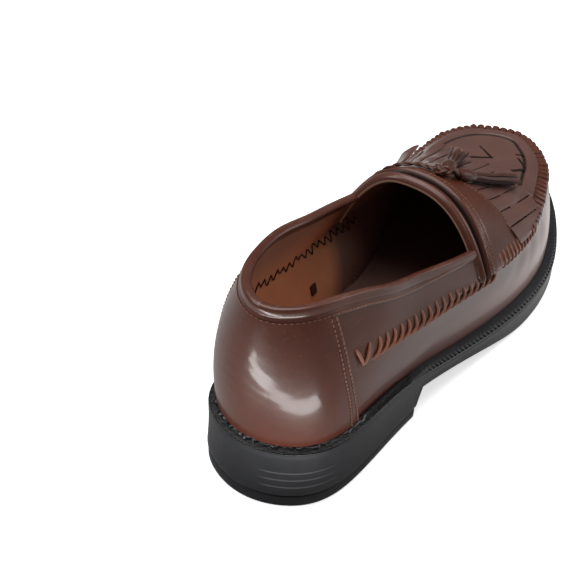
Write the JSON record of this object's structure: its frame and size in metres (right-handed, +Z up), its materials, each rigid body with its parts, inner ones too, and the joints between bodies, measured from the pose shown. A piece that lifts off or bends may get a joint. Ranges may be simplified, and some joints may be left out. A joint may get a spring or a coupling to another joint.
{
  "type": "tassel loafer",
  "caption": "Right-foot dress loafer with a woven apron, fringed strap with tassels, laced side seams and a moulded sole with a block heel.",
  "frame": {"origin": "on the floor under the middle of the shoe's bounding box", "axes": "+Y towards the toe, +X towards the lateral (outer) side of this right shoe, +Z up"},
  "size_m": [0.104, 0.3, 0.1043],
  "materials": {
    "upper_leather": "polished",
    "lining": "matte",
    "sole_rubber": "semi-gloss"
  },
  "bodies": {
    "root": {"upper": "upper_leather", "outsole": "sole_rubber", "heel_top_lift": "sole_rubber", "welt": "sole_rubber", "insole": "lining", "heel_counter": "upper_leather", "collar_binding": "upper_leather", "throat_lip": "upper_leather", "lacing_lateral": "upper_leather", "lacing_medial": "upper_leather", "moc_seam": "upper_leather", "woven_panel": "upper_leather", "strap": "upper_leather", "kiltie": "upper_leather", "lace": "upper_leather", "tassel_knot": "upper_leather", "tassel_lateral": "upper_leather", "tassel_medial": "upper_leather"}
  },
  "joints": []
}
